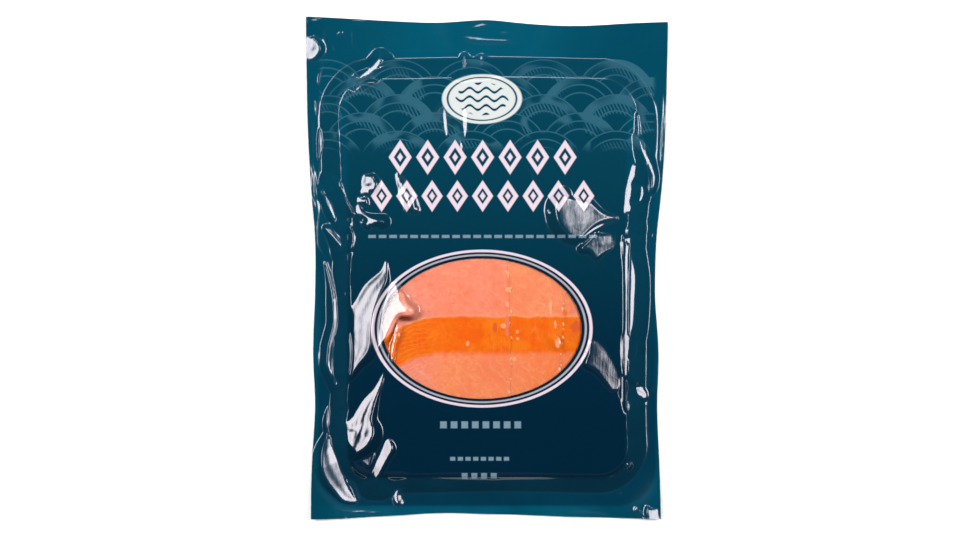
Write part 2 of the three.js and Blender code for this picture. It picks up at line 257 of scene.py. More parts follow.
# narrow folds: a path from the top down or rightwards, the width of the lit slope, and its degrees short
creasesFacingRight = [
    # left border
    ([(-83.4, 69), (-83.7, 62), (-84.1, 54)], 1.9, 0),
    ([(-81, 3), (-79.4, -3), (-77.8, -10), (-76.6, -18), (-76.3, -27), (-77.8, -34), (-79.4, -41),
      (-79.6, -48), (-78, -52.6), (-74.9, -57.6)], 2.0, 0),
    ([(-85.6, 84), (-85.2, 76)], 1.3, 10.5),
    ([(-82.2, 102), (-84, 96), (-84.6, 90)], 1.5, 9),
    ([(-87.4, 73), (-87.4, 60), (-87.2, 46)], 1.1, 10.5),
    ([(-86.6, 50), (-86.2, 38), (-84.8, 28), (-85.6, 20), (-85.4, 12), (-83, 7), (-80.8, 3)], 1.6, 8),
    ([(-83, 38), (-80, 33.6), (-77.6, 28), (-75, 21.6)], 1.7, 0),
    ([(-73.2, 42.6), (-71.6, 33.6), (-67.4, 27.4), (-61.6, 23.6)], 1.3, 4),
    ([(-68, 20.4), (-66.2, 15.4), (-67.4, 9.4)], 1.5, 0),
    ([(-71, -20), (-70.4, -25), (-69, -31), (-67.9, -38), (-67.8, -46), (-68.6, -55)], 1.1, 0),
    ([(-84.6, 4), (-84, -20), (-83.8, -50)], 0.9, 10.8),
    ([(-79.2, -69), (-79.9, -77), (-79.2, -84)], 1.4, 0),
    ([(-70, -106), (-66.4, -109), (-64.4, -115.4)], 1.5, 3),
    ([(-75, -121.6), (-70.4, -125)], 1.0, 3),
    ([(-78, 112), (-77.6, 109.6), (-76, 107)], 1.3, 7),
    # across the print and the window
    ([(-33, -15.4), (-31.2, -19), (-29.6, -23.4)], 2.0, 0),
    ([(-11.4, 105.6), (-12.1, 102), (-12.8, 99)], 1.9, 0),
    ([(-3, 105.6), (-3.6, 103), (-4, 100.6)], 1.9, 0),
    ([(30.8, -16), (31, -20), (32, -24)], 1.2, 9),
    # right border
    ([(75, 64.8), (76.4, 58.6), (78.3, 54), (80.3, 49.5), (81.9, 45), (81.9, 39)], 2.3, 0),
    ([(88.4, 91), (88.2, 80), (87.6, 70), (86.8, 58), (86.6, 46)], 1.0, 1),
    ([(74.4, 76), (74.7, 70), (74.8, 64.5)], 0.9, 9),
    ([(76.4, 41), (76.4, 37), (75.4, 33)], 1.4, 11),
    ([(81.6, 18.8), (81.8, 14.2)], 1.4, 1),
    ([(70.4, 20.4), (68.8, 18.4), (68.2, 16)], 0.9, 4),
    ([(62.4, 17.4), (63.4, 12.4)], 1.0, 9),
    ([(68.6, -57), (68.8, -63), (69.4, -70)], 0.9, 9.8),
    ([(74.4, -36), (73.4, -44)], 0.9, 10.8),
    ([(79.9, -65.6), (78.4, -68.8)], 1.0, 3),
    ([(82, -59.4), (80.6, -64.6)], 0.9, 9),
    # bottom and top seals, facing up where the path runs rightwards
    ([(22.2, -115.2), (23, -117.4), (24.2, -119.6)], 1.3, 0),
    ([(2.6, -110.8), (2.4, -115), (5.6, -119)], 1.2, 3),
    ([(74, -120.2), (76.4, -122.4), (78.4, -124.8)], 0.9, 0),
    ([(-78, -120), (-70, -121.9), (-60, -122.4), (-52, -122.6)], 1.9, 0),
    ([(40, -122.2), (55, -123.2), (62.4, -123.9)], 1.5, 0),
    ([(63.4, -124), (68, -122.4), (73, -120.6)], 1.0, 0),
    ([(-89, 122), (-84, 122.6), (-77.5, 122.2)], 2.0, 0),
    ([(-14.5, 115.4), (-10, 113.8), (-3, 112.7), (8, 112.6), (17, 113)], 2.2, 0),
    ([(-12.6, 118.2), (-9, 118.8), (-6, 118.9)], 1.3, 5),
    ([(-7.4, 118.4), (-3, 119.8), (0.4, 120.4)], 2.6, 0),
    ([(-2, 117.4), (1, 117.7), (4.6, 117.6)], 1.6, 0),
]
creasesFacingLeft = [
    ([(-72.2, 117.2), (-75.4, 115), (-77.8, 113)], 1.5, 0),
    ([(-43.2, -25), (-44.3, -33), (-46, -40), (-47, -47)], 1.9, 0),
    ([(-61.2, -76.4), (-63.4, -82), (-65.8, -87.6)], 1.2, 0),
    ([(-64, -75.6), (-66.2, -80.4)], 1.0, 3),
    ([(-43.6, -110), (-44.6, -114), (-43.4, -117.6)], 2.2, 1),
    ([(66.6, 24.2), (60, 22.2), (53, 18.8), (47, 14.3)], 1.0, 0),
]
evenCreases = [  # facing right where the film is even, so that their far side runs out gently
    ([(-22.2, 79.5), (-22, 72), (-20.6, 64)], 2.4, 0),
    ([(-12.3, 80.5), (-12.3, 72), (-11.8, 64.2)], 2.6, 0),
    ([(-14, 62.8), (-13.6, 57.8)], 2.1, 0),
    ([(20.6, 48), (22.2, 43.6), (25.4, 38.4)], 1.4, 1),
    ([(33.4, -34), (35, -36.4), (36.6, -39.4)], 1.9, 0),
]
ribs = {  # pressed upright into the top seal
    "places": [(-66.4, 119), (-57, 119), (-49.4, 118.6), (-39, 118.4)],
    "length": 8.4,
    "halfWidth": 1.6,
    "height": 0.15,
}
blisters = [  # x, y, radius, height
    (70.4, -98.2, 2.0, 1.3),
    (8.3, 116.3, 1.9, 0.5),
    (66, -112.4, 1.0, 0.28),
    (68.2, -113.3, 0.8, 0.2),
    (-69.4, -12.8, 1.4, 0.32),
    (77, -69.5, 1.3, 0.3),
    (62.6, 5, 1.4, 0.12),
    (63, -4, 1.4, 0.12),
    (84.5, 90, 0.9, 0.24),
    (-82.6, 113, 1.2, 0.2),
    (-80.2, 2, 1.3, 0.3),
]


def drawnIn(x, y):  # where a point of the flat web lies once the edges are drawn in
    width, length = pouchHigh[0] - pouchLow[0], pouchHigh[1] - pouchLow[1]
    across, down = 0.5 + x / width, 0.5 - y / length
    side = np.where(x < 0, evenCurve(border["leftInset"], down), evenCurve(border["rightInset"], down))
    end = np.where(y > 0, evenCurve(border["topInset"], across), evenCurve(border["bottomInset"], across))
    sideShare = smoothStep(width / 2 - border["insetReach"], width / 2, np.abs(x))
    endShare = smoothStep(length / 2 - border["insetReach"], length / 2, np.abs(y))
    return x - np.sign(x) * side * sideShare, y - np.sign(y) * end * endShare


def backHeight(x, y):
    turn = np.arctan2(y / (pouchHigh[1] - pouchLow[1]), x / (pouchHigh[0] - pouchLow[0]))
    lift = np.full_like(x, border["rise"])
    for height, count, phase in border["waves"]:
        lift += height * (1 + np.sin(count * turn + phase))
    for cornerX, cornerY, height, reach in border["cornerCurls"]:
        lift += height * (1 - smoothStep(0, reach, np.hypot(x - cornerX, y - cornerY)))
    return lift * smoothStep(border["riseStarts"], border["riseFull"], outlineDistance(x, y, slab))


def sidedDistance(x, y, outline):  # from an outline whose left and right sides stray
    down = (outline["high"] - y) / (outline["high"] - outline["low"])
    sides = {"left": evenCurve(outline["leftSteps"], down), "right": evenCurve(outline["rightSteps"], down)}
    return outlineDistance(x, y, {**outline, **sides})


def wander(x, y):  # slow waves, some centimetres long, that keep the edges from running straight
    return 0.3 * np.sin(x / 17 + 1.3) * np.sin(y / 23 + 0.4) + 0.2 * np.sin(y / 9.5 + x / 21)


def webHeight(x, y):  # the front web before it folds
    past, before = sidedDistance(x, y, plateau) + wander(x, y), sidedDistance(x, y, weld) + wander(x, y) / 2
    leftWall = evenCurve(film["leftWalls"], (plateau["high"] - y) / (plateau["high"] - plateau["low"]))
    leftShare = smoothStep(film["leftWallsFrom"], film["leftWallsFull"], -x)
    wall = film["wallWidth"] + (leftWall - film["wallWidth"]) * leftShare
    outFromWall = (past - wall) / np.maximum(past - before - wall, 0.5)
    low = border["thickness"] + backHeight(x, y) + film["skirt"] * (1 - smoothStep(0, 1, outFromWall))
    high = slab["top"] + film["overSlab"]
    height = high + (low - high) * ramp(0, wall, past, film["bend"])
    height += film["swell"] * np.sin(x / 31 + 0.7) * np.sin(y / 37 + 1.9)
    height += film["weldRidge"] * np.exp(-(before / film["weldWidth"]) ** 2)
    above = smoothStep(topBand["low"] - topBand["soft"], topBand["low"], y)
    below = 1 - smoothStep(topBand["high"], topBand["high"] + topBand["soft"], y)
    beside = smoothStep(0, topBand["softEnds"], topBand["halfWidth"] - np.abs(x))
    return height - topBand["depth"] * above * below * beside


def pathPoints(path):
    corners = np.array(path, float)
    shares = np.linspace(0, 1, 4 * (len(corners) - 1) + 1)
    return np.stack([evenCurve(corners[:, 0], shares), evenCurve(corners[:, 1], shares)], axis=1)


def nearestOn(x, y, points):  # distance to a path, and how far along it the nearest place is
    away, along = np.full(x.shape, 1e9), np.zeros(x.shape)
    count = len(points) - 1
    for i in range(count):
        (ax, ay), (bx, by) = points[i], points[i + 1]
        dx, dy = bx - ax, by - ay
        t = np.clip(((x - ax) * dx + (y - ay) * dy) / (dx * dx + dy * dy + 1e-12), 0, 1)
        distance = np.hypot(x - ax - t * dx, y - ay - t * dy)
        along = np.where(distance < away, (i + t) / count, along)
        away = np.minimum(away, distance)
    return away, along


def insideCorners(x, y, corners):
    inside = np.zeros(x.shape, bool)
    for (ax, ay), (bx, by) in zip(corners, np.roll(corners, -1, axis=0)):
        if ay != by:
            inside ^= ((y > ay) != (y > by)) & (x < ax + (y - ay) * (bx - ax) / (by - ay))
    return inside


def heightAt(heights, x, y):  # between the points of a height map
    column = np.clip((x - pouchLow[0]) / film["mapStep"], 0, heights.shape[1] - 1.001)
    row = np.clip((y - pouchLow[1]) / film["mapStep"], 0, heights.shape[0] - 1.001)
    i, j = column.astype(int), row.astype(int)
    s, t = column - i, row - j
    low = heights[j, i] * (1 - s) + heights[j, i + 1] * s
    return low * (1 - t) + (heights[j + 1, i] * (1 - s) + heights[j + 1, i + 1] * s) * t


def lampPlace(name):
    azimuth, lean, distance = softboxes[name][:3]
    a, t = math.radians(azimuth), math.radians(lean)
    return np.array([math.sin(t) * math.cos(a), math.sin(t) * math.sin(a), math.cos(t)]) * distance


def cameraPlace():
    return np.array([viewFrame["middleX"], viewFrame["middleY"], viewFrame["distance"]])


def slopeTowards(x, y, facing, short):  # that shows a lamp's middle to the camera, some degrees short of it
    ways = []
    for place in (cameraPlace(), *(lampPlace(name) for name in softboxes)):
        way = place - [x, y, slab["top"]]
        ways.append(way / np.linalg.norm(way))
    eye, *lamps = ways
    lamp = max(lamps, key=lambda way: way[:2] @ facing / np.hypot(*way[:2]))
    half = (lamp + eye)[:2] / (lamp + eye)[2]
    slope = np.hypot(*half)
    return half / slope, math.tan(math.atan(slope) - math.radians(short) / 2)


def envelope(places, values, steepest, upper):  # the nearest curve above or below that is never too steep
    sign = 1 if upper else -1
    cones = sign * values[None, :] - steepest * np.abs(places[:, None] - places[None, :])
    return sign * cones.max(axis=1)


def raiseFold(heights, xs, ys, foot, crest, short, streaks=0, depth=0, hanging=False, far=film["foldFall"]):
    corners = np.concatenate([foot, crest[::-1]])
    facing, slope = slopeTowards(*corners.mean(axis=0), foot.mean(axis=0) - crest.mean(axis=0), short)
    aside = np.array([-facing[1], facing[0]])
    left, low = corners.min(axis=0) - film["fallReach"]
    right, high = corners.max(axis=0) + film["fallReach"]
    columns, rows = slice(*np.searchsorted(xs, (left, right))), slice(*np.searchsorted(ys, (low, high)))
    before = heights[rows, columns].copy()
    x, y = np.meshgrid(xs[columns], ys[rows])
    # a slope that faces the lamp all over, as near to the film at its foot, or its crest, as it can be
    anchor = crest if hanging else foot
    level = heightAt(heights, *anchor.T) + slope * (anchor @ facing)
    places, steepest = anchor @ aside, film["sideways"] * slope
    above, below = (envelope(places, level, steepest, upper) for upper in (True, False))
    onSlab = outlineDistance(*foot.mean(axis=0), slab) < -film["wellInside"]
    share = 1 if onSlab else 0 if hanging else 0.5
    order = np.argsort(places)
    places, level = places[order], (share * above + (1 - share) * below)[order]

    def litAt(x, y):
        return np.interp(x * aside[0] + y * aside[1], places, level) - slope * (x * facing[0] + y * facing[1])

    (toFoot, footAlong), (toCrest, along) = nearestOn(x, y, foot), nearestOn(x, y, crest)
    lit = litAt(x, y)
    width = toFoot + toCrest + 1e-6
    across = toFoot / width
    if streaks:
        turn, phase = 2 * math.pi * streaks, film["streakDrift"] * along
        lit = lit + slope * width * depth / turn * (np.cos(phase) - np.cos(turn * across + phase))
        lit = lit + slope * width * film["softEdge"] * (across / 5 - ((2 * across - 1) ** 5 + 1) / 10)
    # beyond its foot and its crest the film runs back to where it was
    footLevel = np.interp(footAlong, np.linspace(0, 1, len(foot)), litAt(*foot.T))
    crestLevel = np.interp(along, np.linspace(0, 1, len(crest)), litAt(*crest.T))
    edge, away = np.where(toCrest < toFoot, crestLevel, footLevel), np.minimum(toCrest, toFoot)
    fall = np.where(toCrest < toFoot, far, film["foldFall"])
    outside = np.clip(before, edge - fall * away, edge + fall * away)
    heights[rows, columns] = np.where(insideCorners(x, y, corners), lit, outside)


def towards(foot, crest):  # how far out a fold lies on the side that it faces
    facing = foot.mean(axis=0) - crest.mean(axis=0)
    return foot.mean(axis=0) @ facing / np.hypot(*facing)


def creaseFoot(crest, width, side):  # it tapers towards both ends
    direction = np.gradient(crest, axis=0)
    direction /= np.hypot(*direction.T)[:, None]
    share = np.linspace(0, 1, len(crest))
    reach = side * width * np.sqrt(np.maximum(4 * share * (1 - share), 0.02))
    return crest + reach[:, None] * np.stack([-direction[:, 1], direction[:, 0]], axis=1)


def allFolds():
    shapes = []
    for group, hanging in ((folds, False), (terraces, True)):
        for foot, crest, short, streaks, depth in group:
            shapes.append((pathPoints(foot), pathPoints(crest), short, streaks, depth, hanging))
    for creases, side, fall in (
        (creasesFacingRight, 1, "foldFall"),
        (creasesFacingLeft, -1, "foldFall"),
        (evenCreases, 1, "farFall"),
    ):
        for path, width, short in creases:
            crest = pathPoints(path)
            shapes.append((creaseFoot(crest, width, side), crest, short, 0, 0, False, film[fall]))
    # each one's far side may run under the next
    return sorted(shapes, key=lambda shape: -towards(*shape[:2]))


def foldedWeb():  # a height map of the front web with its folds
    xs = np.arange(pouchLow[0], pouchHigh[0] + film["mapStep"], film["mapStep"])
    ys = np.arange(pouchLow[1], pouchHigh[1] + film["mapStep"], film["mapStep"])
    x, y = np.meshgrid(xs, ys)
    heights = webHeight(x, y)
    for shape in allFolds():
        raiseFold(heights, xs, ys, *shape)
    for ribX, ribY in ribs["places"]:  # upright in the top seal
        across = (x - ribX) / ribs["halfWidth"]
        along = (y - ribY + ribs["length"] / 2) / (ribs["length"] / 2)
        heights += ribs["height"] * np.maximum(1 - across ** 2, 0) ** 2 * np.maximum(1 - along ** 4, 0)
    for blisterX, blisterY, radius, height in blisters:
        heights += height * np.maximum(1 - ((x - blisterX) ** 2 + (y - blisterY) ** 2) / radius ** 2, 0)
    return heights


def frontHeight(heights, x, y):
    height = np.maximum(heightAt(heights, x, y), backHeight(x, y) + border["leastThickness"])
    fromHollow = outlineDistance(x, y, slab) - film["besideHollow"]
    return np.maximum(height, np.interp(fromHollow, *hollowProfile) + film["overHollow"])


# how loose the film is: 1 where it can crumple, 0 where it lies tight
looseFilm = {"reach": 9.0, "fromX": 30, "fullX": 70, "fromY": 60, "fullY": -20, "upper": 0.45, "least": 0.1}


def looseness(x, y):
    nearWall = np.exp(-((outlineDistance(x, y, slab) + 1) / looseFilm["reach"]) ** 2)
    side = smoothStep(looseFilm["fromX"], looseFilm["fullX"], np.abs(x))
    lower = smoothStep(looseFilm["fromY"], looseFilm["fullY"], y)
    return nearWall * side * (looseFilm["upper"] + (1 - looseFilm["upper"]) * lower) + looseFilm["least"]


def makeObject(name, vertices, faces, material, edges=()):
    mesh = bpy.data.meshes.new(name)
    mesh.from_pydata((np.asarray(vertices) * mm).tolist(), edges, faces)
    mesh.materials.append(material)
    mesh.update()
    thing = bpy.data.objects.new(name, mesh)
    bpy.context.scene.collection.objects.link(thing)
    return thing


def plainMesh(thing):  # the evaluated result becomes the object's own mesh, and its modifiers go
    graph = bpy.context.evaluated_depsgraph_get()
    result = thing.evaluated_get(graph)
    mesh = bpy.data.meshes.new_from_object(result, preserve_all_data_layers=True, depsgraph=graph)
    thing.modifiers.clear()
    old = thing.data
    thing.data = mesh
    mesh.name = thing.name
    bpy.data.meshes.remove(old)


def shadeSmooth(thing, sharpDegrees):
    thing.data.shade_smooth()
    thing.data.set_sharp_from_angle(angle=math.radians(sharpDegrees))


def cut(thing, tool, operation):
    modifier = thing.modifiers.new("cut", "BOOLEAN")
    modifier.operation = operation
    modifier.object = tool
    modifier.solver = "MANIFOLD"
    plainMesh(thing)


def gridFaces(columns, rows, first, upward):
    faces = []
    for j in range(rows - 1):
        for i in range(columns - 1):
            a = first + j * columns + i
            quad = (a, a + 1, a + 1 + columns, a + columns)
            faces.append(quad if upward else quad[::-1])
    return faces


def zipFaces(upper, lower):  # between two edges that run the same way, each a list of (share, vertex)
    faces = []
    i = j = 0
    while i < len(upper) - 1 or j < len(lower) - 1:
        nextUpper = upper[i + 1][0] if i < len(upper) - 1 else math.inf
        nextLower = lower[j + 1][0] if j < len(lower) - 1 else math.inf
        if nextUpper <= nextLower:
            faces.append((upper[i + 1][1], upper[i][1], lower[j][1]))
            i += 1
        else:
            faces.append((lower[j][1], lower[j + 1][1], upper[i][1]))
            j += 1
    return faces


def gridSides(xs, ys, first):  # the four edges of a grid, anticlockwise from above
    columns, rows = len(xs), len(ys)
    xShare, yShare = (xs - xs[0]) / (xs[-1] - xs[0]), (ys - ys[0]) / (ys[-1] - ys[0])
    low = [(xShare[i], first + i) for i in range(columns)]
    right = [(yShare[j], first + j * columns + columns - 1) for j in range(rows)]
    high = [(1 - xShare[i], first + (rows - 1) * columns + i) for i in reversed(range(columns))]
    left = [(1 - yShare[j], first + j * columns) for j in reversed(range(rows))]
    return [low, right, high, left]


def evenLines(low, high, step):
    return np.linspace(low, high, int(round((high - low) / step)) + 1)


def surfacePoints(xs, ys, heightOf, shoulders):
    gridX, gridY = np.meshgrid(xs, ys)
    x, y = drawnIn(gridX, gridY)
    down = (plateau["high"] - ys) / (plateau["high"] - plateau["low"])
    for side, nominal in shoulders.items():
        column = np.argmin(np.abs(xs - nominal))
        edge = evenCurve(plateau[side + "Steps"], down)
        edge += wander(edge, y[:, column]) * (1 if nominal < 0 else -1)
        held = 1 - smoothStep(film["shoulderHold"], film["shoulderEnd"], np.abs(xs - nominal))
        x += (edge - x[:, column])[:, None] * held
    return np.stack([x, y, heightOf(x, y)], axis=-1).reshape(-1, 3)


def makeEnvelope(material):  # the pouch's closed outside: a fine front web, a plainer back web, and the rim
    xs = np.concatenate([evenLines(*stretch)[:-1] for stretch in film["columns"]] + [pouchHigh[:1]])
    ys = evenLines(pouchLow[1], pouchHigh[1], film["rowStep"])
    backXs, backYs = (evenLines(pouchLow[i], pouchHigh[i], film["backStep"]) for i in (0, 1))
    heights = foldedWeb()
    front = surfacePoints(xs, ys, lambda x, y: frontHeight(heights, x, y), film["shoulderColumns"])
    back = surfacePoints(backXs, backYs, backHeight, {})
    faces = gridFaces(len(xs), len(ys), 0, True) + gridFaces(len(backXs), len(backYs), len(front), False)
    frontSides, backSides = gridSides(xs, ys, 0), gridSides(backXs, backYs, len(front))
    for upper, lower in zip(frontSides, backSides):
        faces += zipFaces(upper, lower)
    pouch = makeObject("film_pouch_printed", np.concatenate([front, back]), faces, material)
    loose = np.concatenate([looseness(front[:, 0], front[:, 1]), np.zeros(len(back))])
    for side in frontSides:  # the rim stays as the weld left it
        loose[[vertex for _, vertex in side]] = 0
    attribute = pouch.data.attributes.new("loose", "FLOAT", "POINT")
    attribute.data.foreach_set("value", loose.astype(np.float32))
    return pouch


class Number:  # what a socket gives, so that a sum of nodes is written like a plain one
    def __init__(self, socket):
        self.socket = socket
        self.tree = socket.id_data

    def __add__(self, other):
        return calc("ADD", self, other)

    def __sub__(self, other):
        return calc("SUBTRACT", self, other)

    def __rsub__(self, other):
        return calc("SUBTRACT", other, self)

    def __mul__(self, other):
        return calc("MULTIPLY", self, other)

    def __truediv__(self, other):
        return calc("DIVIDE", self, other)

    def __abs__(self):
        return calc("ABSOLUTE", self)


def feed(socket, value):
    value = value.socket if isinstance(value, Number) else value
    if isinstance(value, bpy.types.NodeSocket):
        socket.id_data.links.new(value, socket)
    else:
        socket.default_value = value


def makeNode(tree, kind, inputs=None, **settings):
    node = tree.nodes.new(kind)
    for name, value in settings.items():
        setattr(node, name, value)
    for name, value in (inputs or {}).items():
        feed(node.inputs[name], value)
    return node


def calc(operation, *values):
    tree = next(value.tree for value in values if isinstance(value, Number))
    return Number(makeNode(tree, "ShaderNodeMath", dict(enumerate(values)), operation=operation).outputs[0])


def wrapped(value, pitch):  # repeats from minus half a pitch to half a pitch
    return calc("WRAP", value, pitch / 2, -pitch / 2)


def union(masks):
    whole = masks[0]
    for mask in masks[1:]:
        whole = calc("MAXIMUM", whole, mask)
    return whole


def nodeTree(name, values):  # with a named input for each value
    tree = bpy.data.node_groups.new(name, "GeometryNodeTree")
    tree.interface.new_socket("Geometry", in_out="INPUT", socket_type="NodeSocketGeometry")
    for label, value in values.items():
        kind = "NodeSocketInt" if isinstance(value, int) else "NodeSocketFloat"
        tree.interface.new_socket(label, in_out="INPUT", socket_type=kind).default_value = value
    tree.interface.new_socket("Geometry", in_out="OUTPUT", socket_type="NodeSocketGeometry")
    return tree, tree.nodes.new("NodeGroupInput").outputs


def closeTree(tree, geometry, material):
    real = makeNode(tree, "GeometryNodeRealizeInstances", {"Geometry": geometry})
    painted = makeNode(tree, "GeometryNodeSetMaterial", {"Geometry": real.outputs[0], "Material": material})
    feed(tree.nodes.new("NodeGroupOutput").inputs[0], painted.outputs[0])
    return tree


def applyNodes(thing, tree, values):
    modifier = thing.modifiers.new(tree.name, "NODES")
    modifier.node_group = tree
    for item in tree.interface.items_tree:
        if item.item_type == "SOCKET" and item.in_out == "INPUT" and item.name in values:
            modifier[item.identifier] = values[item.name]
    plainMesh(thing)


crumple = {"Cell": 7.5, "Height": 0.1, "Fine Cell": 3.1, "Fine Height": 0.03, "Seed": 4.0}
facetMiddle = 0.45  # how far a point of a facet lies from its middle on average, in cells


def crumpleTree(material):  # shallow facets with sharp edges, where the film is loose
    tree, given = nodeTree("filmCrumple", crumple)
    position = makeNode(tree, "GeometryNodeInputPosition").outputs[0]
    facets = []
    for cell, height in (("Cell", "Height"), ("Fine Cell", "Fine Height")):
        scale = calc("DIVIDE", 1 / mm, Number(given[cell]))
        inputs = {"Vector": position, "W": given["Seed"], "Scale": scale, "Randomness": 1.0}
        facet = makeNode(tree, "ShaderNodeTexVoronoi", inputs, voronoi_dimensions="4D", feature="F1")
        facets.append((Number(facet.outputs["Distance"]) - facetMiddle) * given[height])
    loose = makeNode(tree, "GeometryNodeInputNamedAttribute", {"Name": "loose"}, data_type="FLOAT")
    lift = (facets[0] + facets[1]) * loose.outputs["Attribute"] * mm
    offset = makeNode(tree, "ShaderNodeCombineXYZ", {"Z": lift}).outputs[0]
    moved = makeNode(tree, "GeometryNodeSetPosition", {"Geometry": given["Geometry"], "Offset": offset})
    return closeTree(tree, moved.outputs[0], material)


def colour(red, green, blue):  # as a screen shows it in the studio's light, 0 to 255
    shares = [level / 255 for level in (red, green, blue)]
    linear = [share / 12.92 if share <= 0.04045 else ((share + 0.055) / 1.055) ** 2.4 for share in shares]
    return (*(part * studioShade for part in linear), 1.0)


def newMaterial(name):
    material = bpy.data.materials.new(name)
    material.use_nodes = True
    material.node_tree.nodes.clear()
    return material, material.node_tree


def coat(tree, inputs, kind="ShaderNodeBsdfPrincipled"):  # one shader, straight to the output
    output = tree.nodes.new("ShaderNodeOutputMaterial")
    feed(output.inputs[0], makeNode(tree, kind, inputs).outputs[0])


def placeInMm(tree):  # the point on the piece, in millimetres: all of it, then x, y and z
    here = makeNode(tree, "ShaderNodeTexCoord").outputs["Object"]
    place = stretched(here, (1 / mm, 1 / mm, 1 / mm))
    split = makeNode(tree, "ShaderNodeSeparateXYZ", {0: place})
    return place, *(Number(socket) for socket in split.outputs)


def mapRange(value, fromLow, fromHigh, toLow=0.0, toHigh=1.0, interpolation="LINEAR"):
    ends = {"Value": value, "From Min": fromLow, "From Max": fromHigh, "To Min": toLow, "To Max": toHigh}
    node = makeNode(value.tree, "ShaderNodeMapRange", ends, interpolation_type=interpolation)
    return Number(node.outputs[0])


def fadeMask(value, low, high):  # 0 at low and 1 at high, which may be the smaller one
    return mapRange(value, low, high, interpolation="SMOOTHSTEP")


def insideMask(distance, soft=0.22):  # 1 inside a shape, from the distance to its edge
    return mapRange(distance, -soft, soft, 1.0, 0.0)


def mixColour(share, first, second):
    return makeNode(share.tree, "ShaderNodeMix", {0: share, 6: first, 7: second}, data_type="RGBA").outputs[2]


def overlay(ink, colours, layers):  # each layer is a mask, its strength and the name of its colour
    for mask, strength, name in layers:
        ink = mixColour(mask * strength, ink, colours[name])
    return ink


def noise(place, scale, detail=2.0, distortion=0.0):
    inputs = {"Vector": place, "Scale": scale, "Detail": detail, "Distortion": distortion}
    return Number(makeNode(place.id_data, "ShaderNodeTexNoise", inputs).outputs[0])


def stretched(place, scale, turn=0.0):
    inputs = {"Vector": place, "Scale": scale, "Rotation": (0, 0, turn)}
    return makeNode(place.id_data, "ShaderNodeMapping", inputs).outputs[0]


def bumped(height, deep, strength):
    inputs = {"Height": height, "Distance": deep * mm, "Strength": strength}
    return makeNode(height.tree, "ShaderNodeBump", inputs).outputs[0]


def lengthOf(x, y):
    return calc("SQRT", x * x + y * y)


def ovalRadius(x, y, oval):  # 1 on the oval's edge
    return lengthOf((x - oval["x"]) / oval["halfWidth"], (y - oval["y"]) / oval["halfHeight"])


def outlineMask(x, y, outline, soft):  # 0 inside a rounded rectangle, 1 outside
    reach = []
    for place, low, high in ((x, "left", "right"), (y, "low", "high")):
        middle, half = halfSpan(outline, low, high)
        reach.append(calc("MAXIMUM", abs(place - middle) - (half - outline["corner"]), 0.0))
    return fadeMask(lengthOf(*reach) - outline["corner"], -soft, soft)


def boxDistance(x, y, box):
    return calc("MAXIMUM", abs(x - box["x"]) - box["halfWidth"], abs(y - box["y"]) - box["halfHeight"])


# the film's print colours; the two wall tones are the teal painted lighter beside the slab, a painted sheen
# on the walls and the border
printAndSheenColours = {
    "slabHigh": colour(6, 66, 86),
    "slabLow": colour(2, 37, 58),
    "wallSheenHigh": colour(3, 73, 96),
    "wallSheenLow": colour(4, 57, 79),
    "rim": colour(4, 87, 111),
    "sea": colour(58, 112, 132),
    "muted": colour(122, 150, 166),
    "pale": colour(178, 176, 184),
    "white": colour(234, 218, 229),
    "emblem": colour(223, 229, 227),
}
shades = {
    "low": -80,  # the film's teal gets lighter from here
    "high": 95,  # to here
    "cloud": 0.3,
    "cloudGrain": (0.03, 3.0),
    "rimMiddle": -8,  # painted shade: the sealed rim gets darker away from here
    "rimFrom": 25,
    "rimFull": 85,
    "rimShadeShare": 0.38,
}
sealed = {"left": -84, "right": 84, "low": -118.6, "high": 104.8, "corner": 20}


# the film's teal print, painted lighter beside the slab as a painted sheen, and painted darker towards the
# sides of the sealed rim as painted shade
def filmInkAndPaintedSheen(place, x, y):
    high = fadeMask(y, shades["low"], shades["high"])
    over = mixColour(high, printAndSheenColours["slabLow"], printAndSheenColours["slabHigh"])
    # beside the slab, over the walls and the border, the teal is painted lighter: a painted sheen
    beside = mixColour(high, printAndSheenColours["wallSheenLow"], printAndSheenColours["wallSheenHigh"])
    ink = mixColour(outlineMask(x, y, slab, 1.5), over, beside)
    # painted shade: the sealed rim gets darker towards its sides
    aside = fadeMask(abs(x - shades["rimMiddle"]), shades["rimFrom"], shades["rimFull"])
    rim = mixColour(aside * shades["rimShadeShare"], printAndSheenColours["rim"], printAndSheenColours["slabLow"])
    ink = mixColour(outlineMask(x, y, sealed, 1.0), ink, rim)
    cloud = fadeMask(noise(place, *shades["cloudGrain"]), 0.35, 0.7)
    return mixColour(cloud * shades["cloud"], ink, over)


scales = {
    "rows": [84, 75, 66, 57, 48],  # the discs' middles, the furthest row first
    "shiftX": -80,
    "pitch": 36,
    "radius": 20,
    "rings": [1.0, 0.8, 0.6],
    "line": 0.3,
    "lineShare": 0.8,
    "rimFrom": 0.8,  # outside this share of its radius a disc may be filled, and inside it hatched
    "hatch": 1.8,
    "hatchEnd": 10,  # its middle stays plain
    "fillShare": 0.75,
    "strength": 0.92,
    "fadeLow": 56,
    "fadeHigh": 64,
    "halfWidth": 84.5,
}


